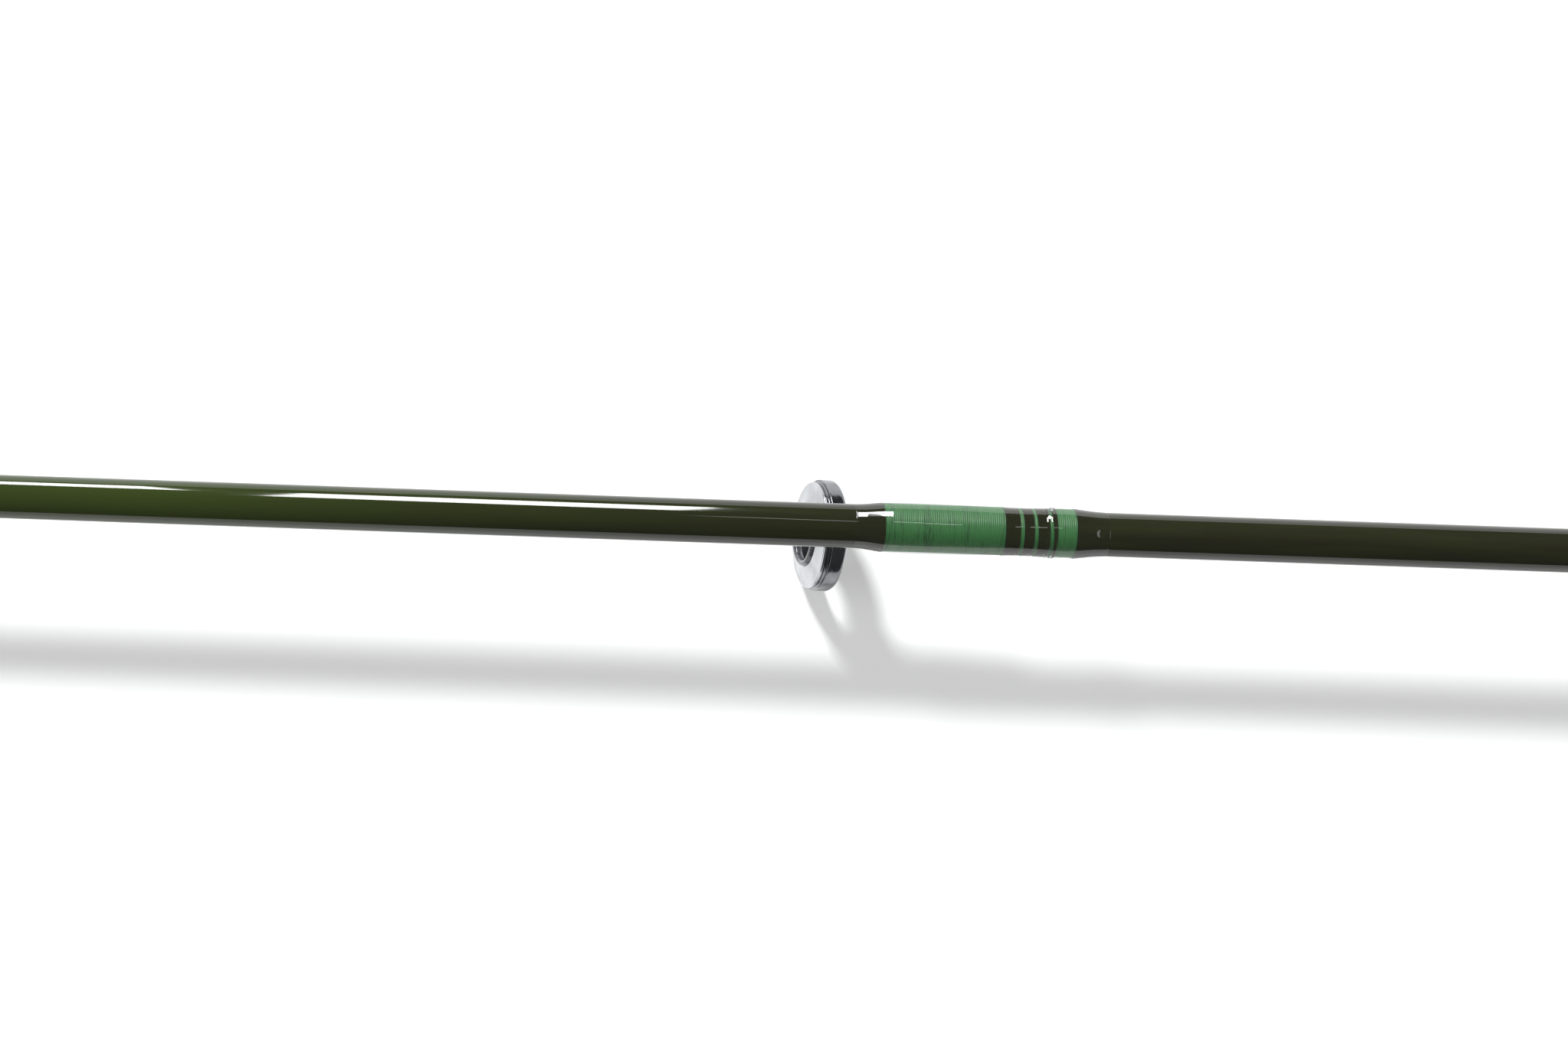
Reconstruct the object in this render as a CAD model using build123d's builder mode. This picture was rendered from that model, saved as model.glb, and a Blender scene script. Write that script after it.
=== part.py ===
from build123d import *
from math import cos, pi, radians, sin
import os

os.makedirs("parts", exist_ok=True)

# A two-piece glass fly rod, seven and a half feet long. The origin is the centre of the
# butt end face, +X runs along the rod to its tip, and the line guides, the hook keeper and
# the reel's place are on its underside, towards -Z. All sizes are in millimetres.

ROD_LENGTH = 2286.0

# Blanks: outer diameter at each station along the rod, with an even taper between them.
BUTT_TAPER = {4: 9.6, 128: 9.5, 310: 9.1, 760: 7.4, 1035: 6.3, 1130: 5.9, 1205: 5.7}
TIP_TAPER = {1130: 7.4, 1210: 7.2, 1235: 5.5, 1480: 4.45, 1600: 4.13, 1700: 3.95, 1950: 3.1, 2280: 1.9}
BUTT_WALL = 0.95
TIP_WALL = 0.5
SOCKET_END = 1210.0
SOCKET_CLEARANCE = 0.04
PLUG_LENGTH = 6.0

# Line guides: the ring of the middle running guide, and each guide as its place and ring radius.
RING_RADIUS = 5.25
SECTION_RADIUS = 5.05
RING_LEAN = 10.0
RING_CLEAR = 0.43
STRIPPER_X = 760.0
STRIPPER_RADIUS = 7.5
STRIPPER_REACH = 7.0
GUIDES = {1: (1035, 6.2), 2: (1263, 5.7), 3: (1466, 5.35), 4: (1646, RING_RADIUS),
          5: (1806, 4.5), 6: (1948, 4.1), 7: (2074, 3.75), 8: (2186, 3.4)}
LEG_LEAD = 1.7
LEG_HEEL = 0.2
TIP_RING_RADIUS = 3.3
TIP_RING_X = ROD_LENGTH - 1.3
TIP_RING_SUNK = 0.15
TIP_TUBE_RADIUS = 1.5
TIP_TUBE_LENGTH = 15.0
TIP_TUBE_CLOSED = 1.5
STRUT_RADIUS = 0.45
STRUT_START = 2.5
STRUT_ROOT = (1.1, -0.9)
STRUT_SPREAD = 3.05

# Ceramic insert at the section radius: it stands a little ahead of the ring's front rim.
INSERT_CENTRE = 1.35
INSERT_WIDTH = 0.8
INSERT_OUTER = 2.85
INSERT_THICKNESS = 0.58
INSERT_CORNER = 0.25

# Thread wraps and the clear finish over them, measured from the edge nearest the ring,
# on the middle running guide. On the others they shrink and grow with the ring.
GUIDE_REACH = 4.2
FOOT_WIDTH = 2.2
FOOT_LENGTH = 9.2
FOOT_RISE = 0.75
FOOT_END_RISE = 0.25
THREAD = 0.2
THREAD_LENGTH = 11.3
TRIM_STARTS = (12.6, 13.9, 15.35)
TRIM_WIDTH = 0.42
LAST_TRIM = (16.05, 18.0)
FINISH = 0.28
FINISH_ON_TRIM = 0.24
FINISH_LEAD = 2.2
FINISH_STEP = 0.6
FINISH_END = 21.1
FINISH_ROOT = 0.3
COVERED = 0.03
TIP_WRAP_LENGTH = 5.0
TIP_WRAP_GAP = 0.1
PLAIN_OVERRUN = 0.9
BUTT_WRAP = (-22.0, -8.0)
SOCKET_WRAP = (2.0, 38.0)

# Reel seat, from the butt end forward.
CAP_RADIUS = 11.6
CAP_LENGTH = 9.0
CAP_FLOOR = 2.5
SEAT_RADIUS = 9.0
SEAT_BORE = 6.2
BARREL_END = 50.0
THREAD_START = 10.5
THREAD_END = 47.0
THREAD_PITCH = 1.25
THREAD_DEPTH = 0.45
NUT_START = 11.5
NUT_LENGTH = 8.2
NUT_RADIUS = 11.4
NUT_FLUTES = 40
NUT_FLUTE_RADIUS = 0.42
RUNNING_FIT = 0.06
HOOD_START = 20.0
HOOD_LENGTH = 24.0
HOOD_RADIUS = 10.9
HOOD_ROOF = 15.0
HOOD_ROOF_CORNER = 3.4
HOOD_BACK_HALF_WIDTH = 3.4
HOOD_BACK_DEPTH = 8.1
HOOD_HALF_WIDTH = 4.4
POCKET_HALF_WIDTH = 6.5
POCKET_DEPTH = 13.9
POCKET_CORNER = 2.6
SPACER_END = 112.0
ARBOR_STARTS = (14.0, 58.0, 98.0)
ARBOR_LENGTH = 12.0
GRIP_START = 128.0

# Cork grip: glued rings, fullest a little behind the middle and slim at the front.
CORK_RINGS = 14
CORK_WIDTH = 12.7
GLUE_LINE = 0.05
GRIP_REAR_RADIUS = 10.8
GRIP_FRONT_RADIUS = 7.0
GRIP_SWELL = 2.2
CHECK_LENGTH = 4.0
CHECK_RIM = 0.8
CHECK_FRONT_RADIUS = 5.3

# Hook keeper: a strap with an eye, and a wire ring that swings in the eye.
KEEPER_X = 326.0
KEEPER_STRAP = 0.4
KEEPER_WIDTH = 1.5
KEEPER_HALF_LENGTH = 7.5
KEEPER_EYE_RADIUS = 1.1
KEEPER_EYE_BORE = 0.65
KEEPER_RING_RADIUS = 2.7
KEEPER_WIRE_RADIUS = 0.45
KEEPER_EYE_GAP = 0.05
KEEPER_REACH = 2.2
KEEPER_THREAD_LENGTH = 6.6
KEEPER_FINISH_LEAD = 0.6
KEEPER_FINISH_RUN = 1.2


def save(solid, name):
    """Label a finished piece and write it as its own STEP file."""
    solid.label = name
    export_step(solid, f"parts/{name}.step")


def radius_at(taper, x):
    """Outer radius of a blank at x, where its diameter changes evenly between stations."""
    stations = sorted(taper)
    for start, end in zip(stations, stations[1:]):
        if x <= end:
            share = (x - start) / (end - start)
            return (taper[start] + share * (taper[end] - taper[start])) / 2
    return taper[stations[-1]] / 2


def taper_line(taper, inset):
    """Points along a blank's surface, or along its bore when inset by the wall."""
    return [(x, taper[x] / 2 - inset) for x in sorted(taper)]


def turned(outline):
    """Solid turned about the rod's axis from a closed outline of (x, radius) points."""
    with BuildPart() as solid:
        with BuildSketch(Plane.XZ):
            with BuildLine():
                Polyline(*outline, close=True)
            make_face()
        revolve(axis=Axis.X)
    return solid.part


def together(solids):
    """Separate solids kept side by side as one piece."""
    with BuildPart() as group:
        for solid in solids:
            add(solid)
    return group.part


def blank_form(taper):
    """A blank as a solid bar, used to seat other pieces on its surface."""
    stations = sorted(taper)
    return turned([(stations[0], 0), *taper_line(taper, 0), (stations[-1], 0)])


butt_form = blank_form(BUTT_TAPER)
tip_form = blank_form(TIP_TAPER)


# --- Blanks and ferrule -------------------------------------------------------------------

butt_outline = [*taper_line(BUTT_TAPER, 0), *reversed(taper_line(BUTT_TAPER, BUTT_WALL))]
save(turned(butt_outline), "butt_blank")

# The tip section's wide end slides over the butt section's end. Past the end of that socket
# the bore narrows to the usual wall.
butt_end = max(BUTT_TAPER)
mouth = min(TIP_TAPER)
tip_bore = [point for point in taper_line(TIP_TAPER, TIP_WALL) if point[0] > SOCKET_END]
socket = [(SOCKET_END, radius_at(BUTT_TAPER, butt_end) + SOCKET_CLEARANCE),
          (butt_end, radius_at(BUTT_TAPER, butt_end) + SOCKET_CLEARANCE),
          (mouth, radius_at(BUTT_TAPER, mouth) + SOCKET_CLEARANCE)]
save(turned([*taper_line(TIP_TAPER, 0), *reversed(tip_bore), *socket]), "tip_blank")

plug_radius = radius_at(BUTT_TAPER, butt_end) - BUTT_WALL
with BuildPart() as ferrule_plug:
    with BuildSketch(Plane.YZ.offset(butt_end - PLUG_LENGTH)):
        Circle(plug_radius)
    extrude(amount=PLUG_LENGTH)
    fillet(ferrule_plug.edges().sort_by(Axis.X)[-1], radius=0.6)
save(ferrule_plug.part, "ferrule_plug")


# --- Thread wraps and finish --------------------------------------------------------------

def band(taper, start, end, cover):
    """Ring of thread or finish lying on a blank between two places, a cover's thickness deep."""
    near = radius_at(taper, start)
    far = radius_at(taper, end)
    return turned([(start, near), (start, near + cover), (end, far + cover), (end, far)])


def sleeve_over_foot(taper, start, direction, foot, cover, sunk=0.0):
    """Sleeve drawn tight round the blank and a foot under it, a cover's thickness over both.

    Away from the foot it can be sunk a little, to lie inside a coat that covers it.
    """
    with BuildPart() as sleeve:
        for distance, rise in ((0, foot["rise"]), (foot["length"], foot["end_rise"])):
            x = start + direction * distance
            radius = radius_at(taper, x)
            with BuildSketch(Plane.YZ.offset(x)):
                Circle(radius + cover - sunk)
                corner = foot["width"] / 2
                with Locations((-corner, -radius - rise), (corner, -radius - rise)):
                    Circle(cover)
                make_hull()
        loft()
    return sleeve.part


def thread_wrap(taper, start, direction, foot, thread_length, form, metal):
    """Thread wrap over a foot, carried on past the foot's end onto the bare blank."""
    foot_end = start + direction * foot["length"]
    thread_end = start + direction * thread_length
    sleeve = sleeve_over_foot(taper, start, direction, foot, THREAD)
    plain_end = band(taper, foot_end, thread_end, THREAD)
    with BuildPart() as wrap:
        add(sleeve)
        add(plain_end)
        add(form, mode=Mode.SUBTRACT)
        add(metal, mode=Mode.SUBTRACT)
    return wrap.part


def trim_bands(taper, start, direction, size):
    """Three thin bands of the same thread beyond a wrap, and a wider last one."""
    bands = []
    for trim_start in TRIM_STARTS:
        near = start + direction * size * trim_start
        bands.append(band(taper, near, near + direction * TRIM_WIDTH, THREAD))
    near, far = (start + direction * size * edge for edge in LAST_TRIM)
    return [*bands, band(taper, near, far, THREAD)]


def finish_coat(taper, start, direction, foot, steps, form, covered):
    """Clear finish over a wrap. steps gives its depth at each distance from the wrap's edge."""
    outline = [(start + direction * distance, cover) for distance, cover in steps]
    outer = [(x, radius_at(taper, x) + cover) for x, cover in outline]
    body = turned(outer)
    sleeve = sleeve_over_foot(taper, start, direction, foot, FINISH, sunk=COVERED)
    with BuildPart() as coat:
        add(body)
        add(sleeve)
        add(form, mode=Mode.SUBTRACT)
        for piece in covered:
            add(piece, mode=Mode.SUBTRACT)
    return coat.part


# --- Line guides --------------------------------------------------------------------------

class Ring:
    """Place and size of a guide's ring. It leans so that its far side leads towards the tip."""

    def __init__(self, x, radius, height, lean):
        self.size = radius / RING_RADIUS
        self.section_scale = radius / SECTION_RADIUS
        self.lean = radians(lean)
        self.axis = Vector(cos(self.lean), 0, sin(self.lean))
        self.centre = Vector(x, 0, -height)
        self.plane = Plane(origin=self.centre, x_dir=self.axis, z_dir=(0, -1, 0))

    def spin_axis(self):
        """Axis that the ring's section is turned about."""
        return Axis(self.centre, self.axis)

    def place(self, along, out):
        """(x, z) of a point of the ring's section nearest the blank, at the ring's own size."""
        along = along * self.section_scale
        out = out * self.section_scale
        x = self.centre.X + along * cos(self.lean) - out * sin(self.lean)
        z = self.centre.Z + along * sin(self.lean) + out * cos(self.lean)
        return x, z


def ring_band(ring):
    """The ring's metal holder: a grooved hollow barrel, and a web that leads forward to the insert."""
    with BuildPart() as holder:
        with BuildSketch(ring.plane):
            with BuildLine():
                Line((1.38, INSERT_OUTER), (1.0, 4.4))
                ThreePointArc((1.0, 4.4), (1.08, 4.56), (0.98, 4.72))
                Polyline((0.98, 4.72), (0.8, 4.68), (0.68, 4.9), (0.55, 5.0))
                ThreePointArc((0.55, 5.0), (-0.1, SECTION_RADIUS), (-0.78, 5.02))
                ThreePointArc((-0.78, 5.02), (-1.02, 4.9), (-1.08, 4.7))
                Polyline((-1.08, 4.7), (-1.0, 4.55), (0.2, 4.5), (0.52, 4.3), (0.95, INSERT_OUTER),
                         (1.38, INSERT_OUTER))
            make_face()
            scale(by=ring.section_scale)
        revolve(axis=ring.spin_axis())
    return holder.part


def insert_ring(ring):
    """Ceramic insert: a rounded ring with a short straight bore that the line runs through."""
    size = ring.section_scale
    with BuildPart() as insert:
        with BuildSketch(ring.plane):
            with Locations((INSERT_CENTRE * size, (INSERT_OUTER - INSERT_THICKNESS / 2) * size)):
                RectangleRounded(INSERT_WIDTH * size, INSERT_THICKNESS * size, INSERT_CORNER * size)
        revolve(axis=ring.spin_axis())
    return insert.part


def guide_leg(taper, ring, start, direction, foot):
    """Strut from the ring's holder to the blank, ending in a foot that is ground thin."""
    size = ring.size
    inside = 0.4
    lead = start - direction * LEG_LEAD * size
    heel = start - direction * LEG_HEEL * size
    end = start + direction * foot["length"]
    near = ring.place(-0.45 * direction, 4.88)
    far = ring.place(0.75 * direction, 4.88)
    outline = [near, far,
               (heel, -radius_at(taper, heel) - foot["rise"]),
               (end, -radius_at(taper, end) - foot["end_rise"]),
               (end, -radius_at(taper, end) + inside),
               (lead, -radius_at(taper, lead) + inside)]
    with BuildPart() as leg:
        with BuildSketch(Plane.XZ):
            with BuildLine():
                Polyline(*outline, close=True)
            make_face()
        extrude(amount=foot["width"] / 2, both=True)
    return leg.part


def guide(name, taper, form, ring, reach, directions):
    """Write one guide's frame, insert, thread wraps and coats of finish."""
    size = ring.size
    foot = {"width": FOOT_WIDTH * size, "length": FOOT_LENGTH * size,
            "rise": FOOT_RISE * size, "end_rise": FOOT_END_RISE}
    starts = [(ring.centre.X + direction * reach, direction) for direction in directions]
    holder = ring_band(ring)
    legs = [guide_leg(taper, ring, start, direction, foot) for start, direction in starts]
    with BuildPart() as frame:
        add(holder)
        for leg in legs:
            add(leg)
        add(form, mode=Mode.SUBTRACT)
    save(frame.part, f"{name}_frame")
    save(insert_ring(ring), f"{name}_insert")

    wraps = []
    coats = []
    steps = [(-FINISH_LEAD, -FINISH_ROOT), (-FINISH_LEAD, 0), (0, FINISH), (THREAD_LENGTH, FINISH),
             (THREAD_LENGTH + FINISH_STEP, FINISH_ON_TRIM), (LAST_TRIM[1], FINISH_ON_TRIM),
             (FINISH_END, 0), (FINISH_END, -FINISH_ROOT)]
    steps = [(distance * size, cover) for distance, cover in steps]
    for start, direction in starts:
        wrap = thread_wrap(taper, start, direction, foot, THREAD_LENGTH * size, form, frame.part)
        turns = [wrap, *trim_bands(taper, start, direction, size)]
        wraps += turns
        coats.append(finish_coat(taper, start, direction, foot, steps, form, [*turns, frame.part]))
    save(together(wraps), f"{name}_wrap")
    save(together(coats), f"{name}_finish")


stripper_height = radius_at(BUTT_TAPER, STRIPPER_X) + STRIPPER_RADIUS * (1 + RING_CLEAR)
stripper_ring = Ring(STRIPPER_X, STRIPPER_RADIUS, stripper_height, 0)
guide("stripper", BUTT_TAPER, butt_form, stripper_ring, STRIPPER_REACH, (-1, 1))

for number, (x, radius) in GUIDES.items():
    taper, form = (BUTT_TAPER, butt_form) if x < mouth else (TIP_TAPER, tip_form)
    height = radius_at(taper, x) + radius * (1 + RING_CLEAR)
    ring = Ring(x, radius, height, RING_LEAN)
    guide(f"guide_{number}", taper, form, ring, GUIDE_REACH * ring.size, (-1,))


# --- Tip top ------------------------------------------------------------------------------

tip_tube_start = ROD_LENGTH - TIP_TUBE_LENGTH
tip_blank_end = max(TIP_TAPER)
tip_ring = Ring(TIP_RING_X, TIP_RING_RADIUS, TIP_TUBE_RADIUS + TIP_RING_RADIUS - TIP_RING_SUNK, 0)
tip_holder = ring_band(tip_ring)
with BuildPart() as tip_top_frame:
    with BuildSketch(Plane.YZ.offset(tip_tube_start)):
        Circle(TIP_TUBE_RADIUS)
    extrude(amount=tip_blank_end + TIP_TUBE_CLOSED - tip_tube_start)
    fillet(tip_top_frame.edges().sort_by(Axis.X)[-1], radius=0.7)
    for side in (-1, 1):
        near = Vector(tip_tube_start + STRUT_START, side * STRUT_ROOT[0], STRUT_ROOT[1])
        far = Vector(TIP_RING_X, side * STRUT_SPREAD, tip_ring.centre.Z)
        with BuildSketch(Plane(origin=near, z_dir=far - near)):
            Circle(STRUT_RADIUS)
        extrude(amount=(far - near).length)
    add(tip_holder)
    add(tip_form, mode=Mode.SUBTRACT)
save(tip_top_frame.part, "tip_top_frame")
save(insert_ring(tip_ring), "tip_top_insert")

tip_wrap_end = tip_tube_start - TIP_WRAP_GAP
tip_wrap_start = tip_wrap_end - TIP_WRAP_LENGTH
tip_wrap = band(TIP_TAPER, tip_wrap_start, tip_wrap_end, THREAD)
save(tip_wrap, "tip_top_wrap")
with BuildPart() as tip_top_finish:
    add(band(TIP_TAPER, tip_wrap_start - PLAIN_OVERRUN, tip_wrap_end, FINISH))
    add(tip_wrap, mode=Mode.SUBTRACT)
save(tip_top_finish.part, "tip_top_finish")


# --- Ferrule wraps ------------------------------------------------------------------------

def plain_wrap(taper, start, end):
    """A wrap with nothing under it, and its coat of finish, a little longer at both ends."""
    wrap = band(taper, start, end, THREAD)
    cover = band(taper, start - PLAIN_OVERRUN, end + PLAIN_OVERRUN, FINISH)
    with BuildPart() as coat:
        add(cover)
        add(wrap, mode=Mode.SUBTRACT)
    return wrap, coat.part


butt_wrap, butt_wrap_coat = plain_wrap(BUTT_TAPER, mouth + BUTT_WRAP[0], mouth + BUTT_WRAP[1])
save(butt_wrap, "butt_ferrule_wrap")
save(butt_wrap_coat, "butt_ferrule_finish")
socket_wrap, socket_wrap_coat = plain_wrap(TIP_TAPER, mouth + SOCKET_WRAP[0], mouth + SOCKET_WRAP[1])
save(socket_wrap, "socket_wrap")
save(socket_wrap_coat, "socket_finish")


# --- Hook keeper --------------------------------------------------------------------------

keeper_radius = radius_at(BUTT_TAPER, KEEPER_X)
eye_height = keeper_radius + KEEPER_EYE_RADIUS + KEEPER_EYE_GAP
with BuildPart() as keeper_bracket:
    with BuildSketch(Plane.XZ):
        with Locations((KEEPER_X, -keeper_radius)):
            Rectangle(2 * KEEPER_HALF_LENGTH, 2 * KEEPER_STRAP)
        with Locations((KEEPER_X, -eye_height)):
            Circle(KEEPER_EYE_RADIUS)
            Circle(KEEPER_EYE_BORE, mode=Mode.SUBTRACT)
    extrude(amount=KEEPER_WIDTH / 2, both=True)
    add(butt_form, mode=Mode.SUBTRACT)
save(keeper_bracket.part, "keeper_bracket")

with BuildPart() as keeper_ring:
    with BuildSketch(Plane.XZ):
        with Locations((KEEPER_X, -eye_height)):
            Circle(KEEPER_WIRE_RADIUS)
    revolve(axis=Axis((KEEPER_X, 0, -eye_height - KEEPER_RING_RADIUS), (1, 0, 0)))
save(keeper_ring.part, "keeper_ring")

keeper_foot = {"width": KEEPER_WIDTH, "length": KEEPER_HALF_LENGTH - KEEPER_REACH,
               "rise": KEEPER_STRAP, "end_rise": KEEPER_STRAP}
keeper_finish_end = KEEPER_THREAD_LENGTH + KEEPER_FINISH_RUN
keeper_steps = [(-KEEPER_FINISH_LEAD, -FINISH_ROOT), (-KEEPER_FINISH_LEAD, 0), (0, FINISH),
                (KEEPER_THREAD_LENGTH, FINISH), (keeper_finish_end, 0), (keeper_finish_end, -FINISH_ROOT)]
keeper_threads = []
keeper_coats = []
for direction in (-1, 1):
    start = KEEPER_X + direction * KEEPER_REACH
    wrap = thread_wrap(BUTT_TAPER, start, direction, keeper_foot, KEEPER_THREAD_LENGTH,
                       butt_form, keeper_bracket.part)
    keeper_threads.append(wrap)
    keeper_coats.append(finish_coat(BUTT_TAPER, start, direction, keeper_foot, keeper_steps,
                                    butt_form, [wrap, keeper_bracket.part]))
save(together(keeper_threads), "keeper_wraps")
save(together(keeper_coats), "keeper_finish")


# --- Cork grip ----------------------------------------------------------------------------

grip_length = CORK_RINGS * CORK_WIDTH
grip_end = GRIP_START + grip_length


def grip_radius(x):
    """Cigar shape: ends that differ, and a swell that peaks a little behind the middle."""
    share = (x - GRIP_START) / grip_length
    ends = GRIP_REAR_RADIUS + (GRIP_FRONT_RADIUS - GRIP_REAR_RADIUS) * share ** 3
    return ends + GRIP_SWELL * sin(pi * share ** 0.9)


with BuildPart() as cork_grip:
    for index in range(CORK_RINGS):
        start = GRIP_START + index * CORK_WIDTH
        end = start + CORK_WIDTH - GLUE_LINE
        middle = (start + end) / 2
        with BuildSketch(Plane.XZ):
            with BuildLine():
                ThreePointArc((start, grip_radius(start)), (middle, grip_radius(middle)),
                              (end, grip_radius(end)))
                Polyline((end, grip_radius(end)), (end, 0), (start, 0), (start, grip_radius(start)))
            make_face()
        revolve(axis=Axis.X)
    add(butt_form, mode=Mode.SUBTRACT)
save(cork_grip.part, "cork_grip")

with BuildPart() as winding_check:
    with BuildSketch(Plane.XZ):
        with BuildLine():
            Polyline((grip_end, 0), (grip_end, GRIP_FRONT_RADIUS), (grip_end + CHECK_RIM, GRIP_FRONT_RADIUS))
            ThreePointArc((grip_end + CHECK_RIM, GRIP_FRONT_RADIUS), (grip_end + CHECK_LENGTH / 2, 6.0),
                          (grip_end + CHECK_LENGTH, CHECK_FRONT_RADIUS))
            Polyline((grip_end + CHECK_LENGTH, CHECK_FRONT_RADIUS), (grip_end + CHECK_LENGTH, 0),
                     (grip_end, 0))
        make_face()
    revolve(axis=Axis.X)
    add(butt_form, mode=Mode.SUBTRACT)
save(winding_check.part, "winding_check")


# --- Reel seat ----------------------------------------------------------------------------

with BuildPart() as butt_cap:
    with BuildSketch(Plane.YZ):
        Circle(CAP_RADIUS)
    extrude(amount=CAP_LENGTH)
    fillet(butt_cap.edges().sort_by(Axis.X)[0], radius=1.4)
    chamfer(butt_cap.edges().sort_by(Axis.X)[-1], length=0.6)
    with BuildSketch(Plane.YZ.offset(CAP_FLOOR)):
        Circle(SEAT_RADIUS)
    extrude(amount=CAP_LENGTH, mode=Mode.SUBTRACT)
save(butt_cap.part, "butt_cap")

# The screw thread is cut as rings of its own pitch and depth.
grooves = []
groove_count = int((THREAD_END - THREAD_START) / THREAD_PITCH)
for index in range(groove_count):
    start = THREAD_START + index * THREAD_PITCH
    grooves += [(start, SEAT_RADIUS), (start + THREAD_PITCH * 0.4, SEAT_RADIUS - THREAD_DEPTH),
                (start + THREAD_PITCH * 0.8, SEAT_RADIUS)]
barrel_outline = [(CAP_FLOOR, SEAT_BORE), (CAP_FLOOR, SEAT_RADIUS), *grooves,
                  (BARREL_END, SEAT_RADIUS), (BARREL_END, SEAT_BORE)]
save(turned(barrel_outline), "seat_barrel")

save(turned([(BARREL_END, SEAT_BORE), (BARREL_END, SEAT_RADIUS),
             (SPACER_END, SEAT_RADIUS), (SPACER_END, SEAT_BORE)]), "seat_spacer")

with BuildPart() as seat_arbors:
    for start in ARBOR_STARTS:
        with BuildSketch(Plane.YZ.offset(start)):
            Circle(SEAT_BORE)
        extrude(amount=ARBOR_LENGTH)
    add(butt_form, mode=Mode.SUBTRACT)
save(seat_arbors.part, "seat_arbors")

with BuildPart() as lock_nut:
    with BuildSketch(Plane.YZ.offset(NUT_START)):
        Circle(NUT_RADIUS)
    extrude(amount=NUT_LENGTH)
    chamfer(lock_nut.edges(), length=0.7)
    with BuildSketch(Plane.YZ.offset(NUT_START)):
        Circle(SEAT_RADIUS + RUNNING_FIT)
        with PolarLocations(NUT_RADIUS, NUT_FLUTES):
            Circle(NUT_FLUTE_RADIUS)
    extrude(amount=NUT_LENGTH, mode=Mode.SUBTRACT)
save(lock_nut.part, "lock_nut")


def hood(back, facing, bore):
    """Collar with a pocket below the seat that takes one end of a reel's foot."""
    shoulder = back + facing * HOOD_LENGTH * 0.6
    mouth_x = back + facing * HOOD_LENGTH
    roof = HOOD_ROOF - HOOD_ROOF_CORNER
    with BuildPart() as shell:
        for x, half_width, depth in ((back, HOOD_BACK_HALF_WIDTH, HOOD_BACK_DEPTH),
                                     (shoulder, HOOD_HALF_WIDTH, roof)):
            with BuildSketch(Plane.YZ.offset(x)):
                Circle(HOOD_RADIUS)
                with Locations((-half_width, -depth), (half_width, -depth)):
                    Circle(HOOD_ROOF_CORNER)
                make_hull()
        loft()
        with BuildSketch(Plane.YZ.offset(shoulder)):
            Circle(HOOD_RADIUS)
            with Locations((-HOOD_HALF_WIDTH, -roof), (HOOD_HALF_WIDTH, -roof)):
                Circle(HOOD_ROOF_CORNER)
            make_hull()
        extrude(amount=facing * (HOOD_LENGTH * 0.4))
        with BuildSketch(Plane.YZ.offset(back)):
            Circle(bore)
        extrude(amount=facing * HOOD_LENGTH, mode=Mode.SUBTRACT)
        with BuildSketch(Plane.YZ.offset(mouth_x)):
            with Locations((0, -POCKET_DEPTH / 2)):
                RectangleRounded(2 * POCKET_HALF_WIDTH, POCKET_DEPTH, POCKET_CORNER)
        extrude(amount=-facing * HOOD_LENGTH * 0.5, mode=Mode.SUBTRACT)
    return shell.part


save(hood(HOOD_START, 1, SEAT_RADIUS + RUNNING_FIT), "sliding_hood")

# The fixed hood closes on the end of the wood and is held between it and the cork.
hood_back = GRIP_START - GLUE_LINE
fixed_hood_shell = hood(hood_back, -1, SEAT_RADIUS)
collar = turned([(SPACER_END, SEAT_BORE), (SPACER_END, SEAT_RADIUS),
                 (hood_back, SEAT_RADIUS), (hood_back, SEAT_BORE)])
with BuildPart() as fixed_hood:
    add(fixed_hood_shell)
    add(collar)
save(fixed_hood.part, "fixed_hood")
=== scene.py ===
from math import cos, pi, radians, sin

import bpy
import numpy as np
from mathutils import Matrix, Vector


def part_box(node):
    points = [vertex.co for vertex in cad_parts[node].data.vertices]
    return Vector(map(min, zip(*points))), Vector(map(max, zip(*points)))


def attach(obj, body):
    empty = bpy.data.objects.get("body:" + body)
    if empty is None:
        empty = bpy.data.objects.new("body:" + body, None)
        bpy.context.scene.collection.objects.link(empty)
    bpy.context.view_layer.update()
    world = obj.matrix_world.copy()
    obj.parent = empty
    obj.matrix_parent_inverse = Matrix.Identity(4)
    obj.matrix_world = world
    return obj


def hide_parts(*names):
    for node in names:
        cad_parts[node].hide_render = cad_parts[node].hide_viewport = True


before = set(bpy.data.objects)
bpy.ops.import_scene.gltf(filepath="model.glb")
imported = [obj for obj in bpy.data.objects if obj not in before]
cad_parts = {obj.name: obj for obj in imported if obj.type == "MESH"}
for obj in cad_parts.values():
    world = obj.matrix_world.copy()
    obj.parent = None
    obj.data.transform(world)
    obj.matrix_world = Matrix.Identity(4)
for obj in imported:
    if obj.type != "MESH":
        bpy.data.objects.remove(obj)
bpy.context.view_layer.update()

mm = 0.001


# --- Blanks -------------------------------------------------------------------------------
# Two hollow tapered tubes of glass cloth and resin, rolled on a steel rod and baked. The tip
# section's wide end is the sleeve of the ferrule. Their clear top coat is glossy over olive.

butt_taper = {4: 9.6, 128: 9.5, 310: 9.1, 760: 7.4, 1035: 6.3, 1130: 5.9, 1205: 5.7}
tip_taper = {1130: 7.4, 1210: 7.2, 1235: 5.5, 1480: 4.45, 1600: 4.13, 1700: 3.95, 1950: 3.1, 2280: 1.9}


def taper(table):
    """(stations, radii) in metres from a table of diameters in millimetres."""
    return np.array(list(table)) * mm, np.array(list(table.values())) * mm / 2


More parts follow.
